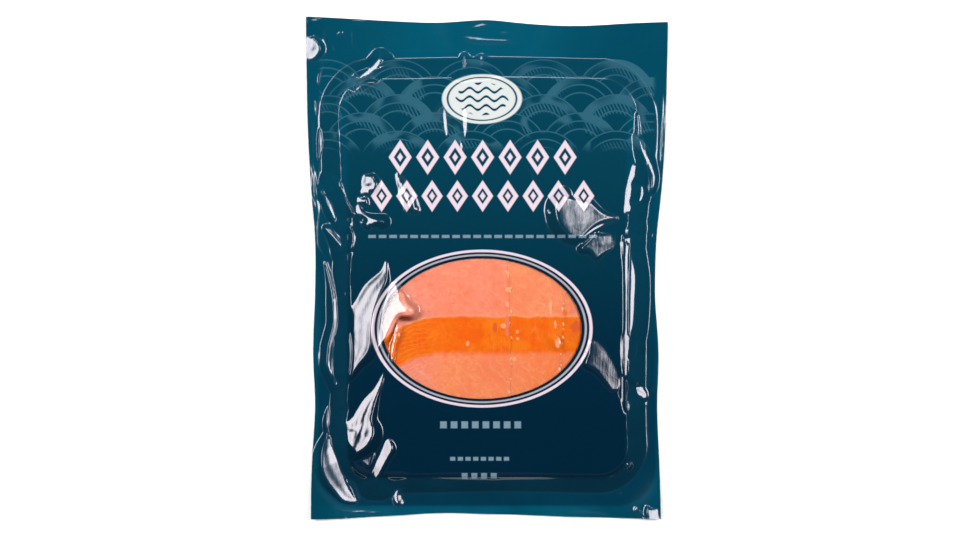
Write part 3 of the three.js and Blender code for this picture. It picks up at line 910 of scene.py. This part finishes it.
def scalesMask(place, x, y):  # the sea: rows of overlapping discs with rings, each hiding the one behind it
    slant = calc("PINGPONG", x + y * 0.5, scales["hatch"] / 2)
    hatch = insideMask(slant - scales["hatch"] * 0.22, 0.15)
    line, rim = scales["line"], scales["radius"] * scales["rimFrom"]
    sea = None
    for number, middle in enumerate(scales["rows"]):
        shift = scales["shiftX"] + (number % 2) * scales["pitch"] / 2
        radius = lengthOf(wrapped(x - shift, scales["pitch"]), y - middle)
        rings = union([
            insideMask(abs(radius - (share * scales["radius"] - line)) - line) for share in scales["rings"]
        ])
        tone = fadeMask(noise(place, 0.045, 1.0, 0.5 * number), 0.46, 0.62)
        hatched = hatch * fadeMask(radius, scales["hatchEnd"], scales["hatchEnd"] + 1)
        filled = tone * calc("MAXIMUM", fadeMask(radius, rim - 0.3, rim + 0.3), hatched)
        drawn = calc("MAXIMUM", rings * scales["lineShare"], filled * scales["fillShare"])
        disc = insideMask(radius - scales["radius"], 0.2)
        sea = drawn * disc if sea is None else sea * (1.0 - disc) + drawn * disc
    sides = fadeMask(abs(x), scales["halfWidth"], scales["halfWidth"] - 2.5)
    return sea * sides * fadeMask(y, scales["fadeLow"], scales["fadeHigh"])


emblem = {"x": -2.5, "y": 83.7, "halfWidth": 19.8, "halfHeight": 12.4, "line": 0.86, "lineWidth": 0.05}
emblemWaves = {"spacing": 4.3, "height": 1.15, "length": 8.2, "width": 0.62, "reach": 0.66}


def addEmblem(ink, x, y):  # an oval with plain waves in it
    radius = ovalRadius(x, y, emblem)
    line = insideMask(abs(radius - emblem["line"]) - emblem["lineWidth"] / 2, 0.015)
    ripple = calc("SINE", (x - emblem["x"]) * (2 * math.pi / emblemWaves["length"]))
    strand = abs(wrapped(y - emblem["y"] - ripple * emblemWaves["height"], emblemWaves["spacing"]))
    waves = insideMask(strand - emblemWaves["width"], 0.18) * insideMask(radius - emblemWaves["reach"], 0.02)
    badge = mixColour(union([line, waves]), printAndSheenColours["emblem"], printAndSheenColours["slabHigh"])
    return mixColour(insideMask(radius - 1.0, 0.02), ink, badge)


lozengeRows = [
    {"x": -2.2, "y": 54.8, "count": 7, "pitch": 13.6, "height": 8.6},
    {"x": -2.2, "y": 35.6, "count": 9, "pitch": 12.5, "height": 7.8},
]
lozenge = {"width": 0.42, "stroke": 2.1, "dot": 1.2}  # half its width in pitches, its line, its dot's inset


def lozengeMask(x, y, row):  # a row of hollow lozenges, each round a small full one
    halfWidth, halfRow = row["pitch"] * lozenge["width"], row["count"] * row["pitch"] / 2
    inRow = calc("WRAP", x - (row["x"] - halfRow), row["pitch"], 0.0)
    radius = abs(inRow - row["pitch"] / 2) / halfWidth + abs(y - row["y"]) / row["height"]
    scale = 1 / math.hypot(1 / halfWidth, 1 / row["height"])
    stroke = lozenge["stroke"] / 2
    shape = calc("MINIMUM", abs((radius - 1.0) * scale + stroke) - stroke, radius * scale - lozenge["dot"])
    ends = boxDistance(x, y, {**row, "halfWidth": halfRow, "halfHeight": 2 * row["height"]})
    return insideMask(calc("MAXIMUM", shape, ends))


dashRows = [  # plain rules of short dashes, share of a pitch long
    {"x": -2.0, "y": 15.6, "halfWidth": 57.5, "halfHeight": 0.75, "pitch": 5.2, "share": 0.72},
    {"x": -3.2, "y": -77.6, "halfWidth": 21, "halfHeight": 1.7, "pitch": 5.25, "share": 0.62},
    {"x": -3.7, "y": -94.4, "halfWidth": 15.2, "halfHeight": 0.9, "pitch": 3.8, "share": 0.66},
    {"x": -3.9, "y": -103.0, "halfWidth": 9.6, "halfHeight": 1.5, "pitch": 4.8, "share": 0.6},
]


def dashMask(x, y, row):
    inRow = calc("WRAP", x - (row["x"] - row["halfWidth"]), row["pitch"], 0.0)
    dash = abs(inRow - row["pitch"] / 2) - row["pitch"] * row["share"] / 2
    return insideMask(calc("MAXIMUM", dash, boxDistance(x, y, row)))


window = {"x": -2.5, "y": -30, "halfWidth": 49.25, "halfHeight": 34.75, "paneGap": 0.04, "cutOver": 6}
ring = {"x": -2.5, "y": -30, "halfWidth": 54.9, "halfHeight": 39.2}
ringBands = [(0.28, 0.47, "pale"), (0.69, 0.97, "white")]  # by share of the way from the window to the ring


def addRings(ink, x, y):
    inner, outer = ovalRadius(x, y, window), ovalRadius(x, y, ring)
    share = (inner - 1.0) * outer / (inner - outer)
    ink = mixColour(insideMask(share - 1.0, 0.05), ink, printAndSheenColours["slabLow"])
    for low, high, name in ringBands:
        band = abs(share - (low + high) / 2) - (high - low) / 2
        ink = mixColour(insideMask(band, 0.035), ink, printAndSheenColours[name])
    return ink


filmGloss = {
    "roughness": 0.07,
    "worn": 0.05,  # rougher by this where it is worn
    "wornGrain": (0.4, 3.0),  # noise: scale, detail, distortion
    "ior": 1.6,
    "ripple": 0.04,
    "rippleGrain": (0.16, 2.0, 0.6),
    "streak": 0.02,
    "streakStretch": (0.9, 0.12, 0.5),
    "tint": (0.7, 0.65, 0.69, 1.0),
    "backRoughness": 0.12,
}


def filmBump(place):
    ripples = noise(place, *filmGloss["rippleGrain"]) * filmGloss["ripple"]
    streaks = noise(stretched(place, filmGloss["streakStretch"]), 1.0) * filmGloss["streak"]
    return bumped(ripples + streaks, 1.0, 1.0)


def printedFilmMaterial():
    material, tree = newMaterial("printedFilm")
    place, x, y, _ = placeInMm(tree)
    ink = filmInkAndPaintedSheen(place, x, y)
    ink = mixColour(scalesMask(place, x, y) * scales["strength"], ink, printAndSheenColours["sea"])
    ink = addEmblem(ink, x, y)
    ink = mixColour(union([lozengeMask(x, y, row) for row in lozengeRows]), ink, printAndSheenColours["white"])
    ink = mixColour(union([dashMask(x, y, row) for row in dashRows]), ink, printAndSheenColours["muted"])
    smooth, worn = filmGloss["roughness"], noise(place, *filmGloss["wornGrain"])
    coat(tree, {
        "Base Color": addRings(ink, x, y),
        "Roughness": mapRange(worn, 0.0, 1.0, smooth, smooth + filmGloss["worn"]),
        "IOR": filmGloss["ior"],
        "Specular Tint": filmGloss["tint"],
        "Normal": filmBump(place),
    })
    return material


def plainFilmMaterial():  # the back web
    material, tree = newMaterial("plainFilm")
    roughness = filmGloss["backRoughness"]
    # the back web takes the lower wall tone, the teal painted lighter as a painted sheen
    coat(tree, {"Base Color": printAndSheenColours["wallSheenLow"], "Roughness": roughness, "IOR": filmGloss["ior"]})
    return material


def clearFilmMaterial():
    material, tree = newMaterial("clearFilm")
    place, _, _, height = placeInMm(tree)
    normal = filmBump(place)
    clear = makeNode(tree, "ShaderNodeBsdfTransparent", {"Color": (1.0, 1.0, 1.0, 1.0)})
    shine = {"Color": filmGloss["tint"], "Roughness": filmGloss["roughness"], "Normal": normal}
    gloss = makeNode(tree, "ShaderNodeBsdfGlossy", shine)
    mirror = makeNode(tree, "ShaderNodeFresnel", {"IOR": filmGloss["ior"], "Normal": normal})
    # the underside lies against the fish and doesn't shine
    underside = slab["top"] + film["hollowOverSlab"]
    share = Number(mirror.outputs[0]) * fadeMask(height, underside + 0.03, underside + 0.08)
    coat(tree, {0: share, 1: clear.outputs[0], 2: gloss.outputs[0]}, "ShaderNodeMixShader")
    return material


salmon = {
    "bandMiddle": -32.8,  # the dark muscle along the fish's side
    "bandHalf": 8.9,
    "bandBend": 0.0118,  # how it bends down towards the left
    "bandBendFrom": -21,
    "wobble": 3.4,
    "flakePitch": 5.4,
    "flakeWobble": 9,
    "linePitch": 2.2,  # lines along the band where it bends
    "rimHalf": 0.5,  # a pale line along the band's upper edge
}
salmonZones = {  # the x or y where a tone begins, and where it is full
    "left": (-16, -40),
    "right": (8, 13),
    "lowRight": (6, 34),
    "upper": (-46, -36),
    "bentLines": (-20, -34),
}
salmonGrain = {  # noise: scale, detail, distortion
    "rough": (0.12, 3.0),
    "fine": (0.42, 4.0, 0.8),
    "cloudy": (0.07, 4.0),
    "seams": (0.1, 2.0),
    "tone": (0.1, 3.0, 0.8),
    "threadPlaces": (0.05, 1.0),
    "ragged": (0.5, 3.0),
    "bumps": (0.6, 3.0),
}
salmonThreads = {"stretch": (0.9, 0.1, 0.5), "turn": 0.12, "grain": (1.0, 2.0, 0.4)}
salmonColours = {
    "upper": colour(253, 153, 122),
    "left": colour(252, 160, 138),
    "right": colour(253, 161, 111),
    "lower": colour(254, 153, 100),
    "lowRight": colour(254, 140, 78),
    "shade": colour(250, 136, 94),
    "band": colour(251, 119, 0),
    "deep": colour(250, 106, 0),
    "light": colour(253, 136, 8),
    "fat": colour(254, 190, 140),
    "line": colour(253, 150, 52),
    "red": colour(226, 96, 52),
    "edge": colour(240, 140, 116),
}
salmonMarks = [  # middle x and y, half width and half height, colour
    (44.2, -29.2, 3.2, 3.4, "red"),
    (38.6, -22.6, 1.6, 1.8, "band"),
    (43.6, -20.6, 2.0, 1.8, "edge"),
    (9.8, -28, 1.3, 6.2, "edge"),
    (4, -29.4, 1.2, 2.8, "red"),
    (-6.6, -33, 7, 4, "deep"),
    (15.4, -38.4, 6.6, 3.2, "light"),
    (31.4, -19.4, 0.7, 4.0, "fat"),
    (33.8, -28, 0.7, 2.4, "fat"),
    (35, -37.2, 1.4, 2.8, "fat"),
    (-9.5, -37.5, 1.1, 1.5, "fat"),
    (8, -28.5, 1.7, 1.5, "fat"),
    (10, -10.5, 1.2, 1.3, "fat"),
    (10, -18, 1.1, 1.4, "fat"),
    (10.2, -2.6, 1.1, 1.2, "fat"),
    (15, -31.5, 1.0, 1.1, "fat"),
    (15.3, -35, 1.0, 1.0, "fat"),
    (13.5, -45, 1.1, 1.2, "fat"),
]


def salmonColour(place, x, y):  # and how high its surface stands
    grain = {name: noise(place, *settings) for name, settings in salmonGrain.items()}
    rough, fine, tone = grain["rough"] - 0.5, grain["fine"], grain["tone"]
    wobble = rough * salmon["wobble"]
    pale, dark = fadeMask(fine, 0.5, 0.72), fadeMask(fine, 0.5, 0.28)
    # plain flesh, pinker towards the left and redder towards the lower right
    leftward = fadeMask(x, *salmonZones["left"])
    over = mixColour(leftward, salmonColours["upper"], salmonColours["left"])
    over = mixColour(fadeMask(x, *salmonZones["right"]), over, salmonColours["right"])
    under = mixColour(leftward, salmonColours["lower"], salmonColours["left"])
    under = mixColour(fadeMask(x, *salmonZones["lowRight"]), under, salmonColours["lowRight"])
    # faint seams between the flakes, running down to the right
    slant = calc("PINGPONG", (x + y) * 0.7 + rough * salmon["flakeWobble"], salmon["flakePitch"] / 2)
    flesh = mixColour(fadeMask(y, *salmonZones["upper"]), under, over)
    flesh = overlay(flesh, salmonColours, [
        (pale, 0.4, "fat"),
        (dark, 0.7, "shade"),
        (fadeMask(grain["cloudy"], 0.42, 0.72), 0.6, "shade"),
        (fadeMask(slant, 0.7, 0.0) * fadeMask(grain["seams"], 0.4, 0.65), 0.3, "fat"),
    ])
    # the dark band, which bends down towards the left, with lines along the bend and threads beside it
    bend = calc("MAXIMUM", salmon["bandBendFrom"] - x, 0.0)
    fromBand = y - salmon["bandMiddle"] + (bend * bend * salmon["bandBend"] + wobble)
    along = fadeMask(calc("PINGPONG", fromBand + wobble, salmon["linePitch"] / 2), 0.5, 0.0)
    drawnOut = stretched(place, salmonThreads["stretch"], salmonThreads["turn"])
    threads = fadeMask(noise(drawnOut, *salmonThreads["grain"]), 0.56, 0.7)
    threads = threads * fadeMask(grain["threadPlaces"], 0.44, 0.6)
    lines = union([along * fadeMask(x, *salmonZones["bentLines"]), threads])
    band = mixColour(fadeMask(tone, 0.3, 0.5), salmonColours["deep"], salmonColours["band"])
    band = overlay(band, salmonColours, [
        (fadeMask(tone, 0.5, 0.75), 1.0, "light"),
        (pale, 0.7, "light"),
        (dark, 0.9, "deep"),
        (lines, 0.45, "line"),
    ])
    half = salmon["bandHalf"]
    inBand = fadeMask(fromBand, half + 0.5, half - 0.5) * fadeMask(fromBand, -half - 2.4, -half + 1.2)
    layers = [(insideMask(abs(fromBand - half) - salmon["rimHalf"], 0.35), 0.4, "fat")]
    for markX, markY, halfWidth, halfHeight, name in salmonMarks:
        radius = ovalRadius(x, y, {"x": markX, "y": markY, "halfWidth": halfWidth, "halfHeight": halfHeight})
        layers.append((fadeMask(radius + grain["ragged"], 1.55, 1.15), 0.75, name))
    return overlay(mixColour(inBand, flesh, band), salmonColours, layers), grain["bumps"] + lines


def salmonMaterial():
    material, tree = newMaterial("salmonFlesh")
    place, x, y, _ = placeInMm(tree)
    ink, height = salmonColour(place, x, y)
    coat(tree, {
        "Base Color": ink,
        "Roughness": 0.4,
        "IOR": 1.2,
        "Normal": bumped(height, 0.12, 0.6),
        "Subsurface Weight": 0.03,
        "Subsurface Scale": 1.5 * mm,
        "Subsurface Radius": (1.0, 0.45, 0.25),
    })
    return material


def fatMaterial():
    material, tree = newMaterial("paleFat")
    ink = mixColour(noise(placeInMm(tree)[0], 0.8), colour(255, 178, 112), colour(255, 214, 176))
    coat(tree, {"Base Color": ink, "Roughness": 0.35, "IOR": 1.42})
    return material


slices = {
    "edges": [(10.8, 1.3, 3.4), (37, 1.8, 2.0)],  # x on the slab's top, wave, phase
    "waveLength": 150,
    "ragged": [(0.35, 2.1, 1), (0.25, 0.93, 2)],  # depth, length, shift from one edge to the next
    "tuck": 17,  # how far the next slice reaches in under an edge
    "step": 0.35,  # how much lower than the last one each slice lies
    "gap": 0.35,
    "edgeGap": 0.3,  # how far each slice ends short of its edge
    "overlap": 1,  # how much further in than the tuck the next one's mesh begins
    "inFromWeb": 0.02,
    "roundedEdge": 2.6,
    "columnStep": 0.7,
    "rowStep": 1.0,
    "flakeDepth": 0.1,
    "flakeTurn": -29,  # the flakes slant one way above this and the other way below it
    "swell": 0.08,
    "leastThickness": 0.05,
}


def sliceEdge(number, y):
    x, wave, phase = slices["edges"][number]
    ragged = sum(depth * np.sin(y / length + shift * number) for depth, length, shift in slices["ragged"])
    return x + wave * np.sin(2 * math.pi * y / slices["waveLength"] + phase) + ragged


def partingHeight(number, x, y):
    slope = (slab["top"] - slab["floor"]) / slices["tuck"]
    return slab["top"] + (x - sliceEdge(number, y)) * slope


def makeSlice(number, node, material):
    isFirst, isLast = number == 0, number == len(sliceNodes) - 1
    middle, half = halfSpan(slab, "low", "high")
    ys = evenLines(slab["low"] + slices["inFromWeb"], slab["high"] - slices["inFromWeb"], slices["rowStep"])
    past = np.maximum(np.abs(ys - middle) - half + slab["corner"], 0)
    side = slab["right"] - slab["corner"] + np.sqrt(slab["corner"] ** 2 - past ** 2)
    reach = slices["tuck"] + slices["overlap"]
    left = -side if isFirst else np.maximum(sliceEdge(number - 1, ys) - reach, -side)
    right = side if isLast else np.minimum(sliceEdge(number, ys) - slices["edgeGap"], side)
    columns = int((right - left).max() / slices["columnStep"]) + 1
    x = left[:, None] + (right - left)[:, None] * np.linspace(0, 1, columns)[None, :]
    y = np.repeat(ys[:, None], columns, axis=1)
    rounded = slices["roundedEdge"]
    inset = np.clip(rounded + outlineDistance(x, y, slab), 0, rounded - 0.05)
    rounding = rounded - np.sqrt(rounded ** 2 - inset ** 2)
    flakes = np.sin((x + 0.5 * np.abs(y - slices["flakeTurn"])) * 2 * math.pi / salmon["flakePitch"])
    upper = slab["top"] - number * slices["step"] - rounding - slices["flakeDepth"] * np.clip(flakes, 0.4, 1)
    upper = upper - slices["swell"] * np.sin(x / 7 + 2) * np.sin(y / 11)
    lower = slab["floor"] + rounding
    if not isFirst:
        upper = np.minimum(upper, partingHeight(number - 1, x, y) - slices["gap"] / 2)
    if not isLast:
        lower = np.maximum(lower, partingHeight(number, x, y) + slices["gap"] / 2)
    lower = np.minimum(lower, upper - slices["leastThickness"])
    top, bottom = (np.stack([x, y, z], axis=-1).reshape(-1, 3) for z in (upper, lower))
    faces = gridFaces(columns, len(ys), 0, True) + gridFaces(columns, len(ys), len(top), False)
    places = np.arange(columns), np.arange(len(ys))
    for upperSide, lowerSide in zip(gridSides(*places, 0), gridSides(*places, len(top))):
        faces += zipFaces(upperSide, lowerSide)
    piece = makeObject(node + "_flesh", np.concatenate([top, bottom]), faces, material)
    shadeSmooth(piece, 55)
    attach(piece, "root")
    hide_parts(node)


fatBeads = {"Spacing": 2.6, "Size": 0.62, "Kept": 0.6, "Seed": 3}
fatLine = {"low": -66, "high": 6, "step": 1.0, "inFromEdge": 0.4, "sunk": 0.02}
fatShapes = {"least": (0.35, 0.6, 0.3), "most": (1.0, 2.2, 0.42), "turn": 0.5, "shift": (0.7, 0.8, 0)}


def randomVector(tree, seed, low, high):
    inputs = {0: low, 1: high, "Seed": seed}
    return makeNode(tree, "FunctionNodeRandomValue", inputs, data_type="FLOAT_VECTOR").outputs[0]


def beadTree(material):  # small flattened drops of fat along a line
    tree, given = nodeTree("fatBeads", fatBeads)
    seed = Number(given["Seed"])
    curve = makeNode(tree, "GeometryNodeMeshToCurve", {"Mesh": given["Geometry"]}).outputs[0]
    spacing = {"Curve": curve, "Length": Number(given["Spacing"]) * mm}
    points = makeNode(tree, "GeometryNodeCurveToPoints", spacing, mode="LENGTH").outputs[0]
    drop = makeNode(tree, "GeometryNodeMeshIcoSphere", {"Radius": mm, "Subdivisions": 2}).outputs[0]
    chance = {"Probability": given["Kept"], "Seed": seed}
    kept = makeNode(tree, "FunctionNodeRandomValue", chance, data_type="BOOLEAN").outputs
    stretch = randomVector(tree, seed, fatShapes["least"], fatShapes["most"])
    size = makeNode(tree, "ShaderNodeVectorMath", {0: stretch, "Scale": given["Size"]}, operation="SCALE")
    turn = randomVector(tree, seed + 1, (0, 0, -fatShapes["turn"]), (0, 0, fatShapes["turn"]))
    reach = Vector(fatShapes["shift"]) * mm
    shift = randomVector(tree, seed + 2, -reach, reach)
    placed = makeNode(tree, "GeometryNodeInstanceOnPoints", {
        "Points": makeNode(tree, "GeometryNodeSetPosition", {"Geometry": points, "Offset": shift}).outputs[0],
        "Selection": next(socket for socket in kept if socket.type == "BOOLEAN"),
        "Instance": drop,
        "Scale": size.outputs[0],
        "Rotation": turn,
    })
    return closeTree(tree, placed.outputs[0], material)


def makeFatBeads(material):
    ys = evenLines(fatLine["low"], fatLine["high"], fatLine["step"])
    vertices, edges = [], []
    for number in range(len(slices["edges"])):
        first = len(vertices)
        z = np.full_like(ys, slab["top"] - number * slices["step"] - fatLine["sunk"])
        vertices += np.stack([sliceEdge(number, ys) - fatLine["inFromEdge"], ys, z], axis=1).tolist()
        edges += [(first + i, first + i + 1) for i in range(len(ys) - 1)]
    drops = makeObject("salmon_fat_beads", vertices, [], material, edges)
    applyNodes(drops, beadTree(material), fatBeads)
    shadeSmooth(drops, 60)
    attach(drops, "root")


def makePrism(name, outline, low, high, material):
    count = len(outline)
    vertices = [(x, y, z) for z in (low, high) for x, y in outline]
    faces = [tuple(reversed(range(count))), tuple(range(count, 2 * count))]
    faces += [(i, (i + 1) % count, count + (i + 1) % count, count + i) for i in range(count)]
    return makeObject(name, vertices, faces, material)


def ovalOutline(oval, grow, count=144):
    halfWidth, halfHeight = oval["halfWidth"] + grow, oval["halfHeight"] + grow
    points = []
    for turn in np.linspace(0, 2 * math.pi, count, endpoint=False):
        points.append((oval["x"] + halfWidth * math.cos(turn), oval["y"] + halfHeight * math.sin(turn)))
    return points


def slabRing(grow, height, count=10):
    corner = slab["corner"] + grow
    (_, halfX), (middleY, halfY) = halfSpan(slab, "left", "right"), halfSpan(slab, "low", "high")
    x, y = halfX - slab["corner"], halfY - slab["corner"]
    points = []
    for quarter, (signX, signY) in enumerate(((1, 1), (-1, 1), (-1, -1), (1, -1))):
        for step in range(count + 1):
            turn = (quarter + step / count) * math.pi / 2
            placeX, placeY = signX * x + corner * math.cos(turn), signY * y + corner * math.sin(turn)
            points.append((placeX, middleY + placeY, height))
    return points


def makeHollow(material):  # the room inside the pouch, a slab a little larger than the fish
    distances, heights = hollowProfile
    rings = [slabRing(distances[-2], slab["floor"] - film["hollowUnderSlab"])]
    rings += [slabRing(distance, height) for distance, height in zip(distances[-2::-1], heights[-2::-1])]
    count = len(rings[0])
    vertices = [point for row in rings for point in row]
    faces = [tuple(reversed(range(count))), tuple(range((len(rings) - 1) * count, len(rings) * count))]
    for row in range(len(rings) - 1):
        for i in range(count):
            a, b = row * count + i, row * count + (i + 1) % count
            faces.append((a, b, b + count, a + count))
    return makeObject("hollow", vertices, faces, material)


def discard(*things):
    for thing in things:
        mesh = thing.data
        bpy.data.objects.remove(thing)
        bpy.data.meshes.remove(mesh)


def backFaces(mesh):  # the ones of the back web, which look down from near the ground
    count = len(mesh.polygons)
    centres, normals = np.zeros(3 * count), np.zeros(3 * count)
    mesh.polygons.foreach_get("center", centres)
    mesh.polygons.foreach_get("normal", normals)
    return (normals[2::3] < film["plainNormal"]) & (centres[2::3] < (slab["floor"] + film["plainUnder"]) * mm)


def makePouch(printed, plain, clear):
    pouch = makeEnvelope(printed)
    applyNodes(pouch, crumpleTree(printed), crumple)
    print("envelope", len(pouch.data.polygons), "faces")
    hollow = makeHollow(printed)
    cut(pouch, hollow, "DIFFERENCE")
    pane = pouch.copy()
    pane.data = pouch.data.copy()
    pane.name = pane.data.name = "film_pouch_window"
    bpy.context.scene.collection.objects.link(pane)
    # the window's oval, and the pane a hair smaller
    low, high = (slab["floor"] + slab["top"]) / 2, slab["top"] + window["cutOver"]
    opening = makePrism("opening", ovalOutline(window, 0), low, high, printed)
    cut(pouch, opening, "DIFFERENCE")
    glass = makePrism("glass", ovalOutline(window, -window["paneGap"]), low, high, printed)
    cut(pane, glass, "INTERSECT")
    discard(hollow, opening, glass)
    finishes = (pouch, (printed, plain), "printed_film"), (pane, (clear,), "clear_film")
    for piece, materials, slotName in finishes:
        piece.data.materials.clear()
        for material in materials:
            piece.data.materials.append(material)
        isPlain = backFaces(piece.data) & (piece is pouch)
        piece.data.polygons.foreach_set("material_index", isPlain.astype(np.int32))
        shadeSmooth(piece, 70)
        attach(piece, "root")
        print(piece.name, len(piece.data.polygons), "faces")
    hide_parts("film_pouch")


def makeCamera():
    data = bpy.data.cameras.new("camera")
    camera = bpy.data.objects.new("camera", data)
    camera.location = Vector(cameraPlace()) * mm
    data.sensor_width = 36
    width = viewFrame["width"] * viewFrame["mmPerPixel"]  # what it sees at the height of the slab's top
    data.lens = data.sensor_width * (viewFrame["distance"] - slab["top"]) / width
    data.clip_end = 50
    bpy.context.scene.collection.objects.link(camera)
    bpy.context.scene.camera = camera


def makeSoftboxes():
    for name, (azimuth, lean, distance, width, height, radiance) in softboxes.items():
        data = bpy.data.lights.new("softbox_" + name, "AREA")
        data.shape = "RECTANGLE"
        data.size, data.size_y = width * mm, height * mm
        data.energy = math.pi * radiance * data.size * data.size_y
        data.use_nodes = True
        tree = data.node_tree
        tree.nodes.clear()
        # bright in its middle and dimmer towards its edges
        ends = {0: makeNode(tree, "ShaderNodeNewGeometry").outputs["Parametric"], 1: (0.5, 0.5, 0.0)}
        away = Number(makeNode(tree, "ShaderNodeVectorMath", ends, operation="DISTANCE").outputs["Value"])
        full, dim = softboxFade["full"], softboxFade["dim"]
        strength = mapRange(away, full, dim, 1.0, softboxFade["least"], "SMOOTHSTEP")
        glow = makeNode(tree, "ShaderNodeEmission", {"Strength": strength})
        feed(tree.nodes.new("ShaderNodeOutputLight").inputs[0], glow.outputs[0])
        lamp = bpy.data.objects.new("softbox_" + name, data)
        lamp.location = Vector(lampPlace(name)) * mm
        lamp.rotation_euler = lamp.location.to_track_quat("Z", "Y").to_euler()
        bpy.context.scene.collection.objects.link(lamp)


def makeWorld():
    world = bpy.data.worlds.new("studio")
    bpy.context.scene.world = world
    world.use_nodes = True
    tree = world.node_tree
    tree.nodes.clear()
    way = makeNode(tree, "ShaderNodeTexCoord").outputs["Generated"]
    up = makeNode(tree, "ShaderNodeSeparateXYZ", {0: way}).outputs[2]
    shade = makeNode(tree, "ShaderNodeValToRGB", {"Fac": up})
    shade.color_ramp.interpolation = "EASE"
    stops = shade.color_ramp.elements
    for number, (place, bright) in enumerate(sky):
        stop = stops[number] if number < 2 else stops.new(place)
        stop.position = place
        stop.color = (bright, bright, bright, 1)
    light = makeNode(tree, "ShaderNodeBackground", {"Color": shade.outputs[0], "Strength": 1.0})
    feed(tree.nodes.new("ShaderNodeOutputWorld").inputs[0], light.outputs[0])


floorSize = 4000


def makeFloor():
    material, tree = newMaterial("paleFloor")
    place = makeNode(tree, "ShaderNodeTexCoord").outputs["Object"]
    tint = mixColour(noise(place, 3.0), (0.92, 0.92, 0.92, 1.0), (0.96, 0.96, 0.96, 1.0))
    coat(tree, {"Color": tint}, "ShaderNodeBsdfDiffuse")
    corners = [(x * floorSize, y * floorSize, 0) for x, y in ((-1, -1), (1, -1), (1, 1), (-1, 1))]
    makeObject("floor", corners, [(0, 1, 2, 3)], material)


makeCamera()
makeSoftboxes()
makeWorld()
makeFloor()
bpy.context.scene.view_settings.view_transform = "Standard"
bpy.context.scene.view_settings.look = "None"
print("studio ready")
flesh = salmonMaterial()
for number, node in enumerate(sliceNodes):
    makeSlice(number, node, flesh)
makeFatBeads(fatMaterial())
print("slices ready")
makePouch(printedFilmMaterial(), plainFilmMaterial(), clearFilmMaterial())
print("pouch ready")
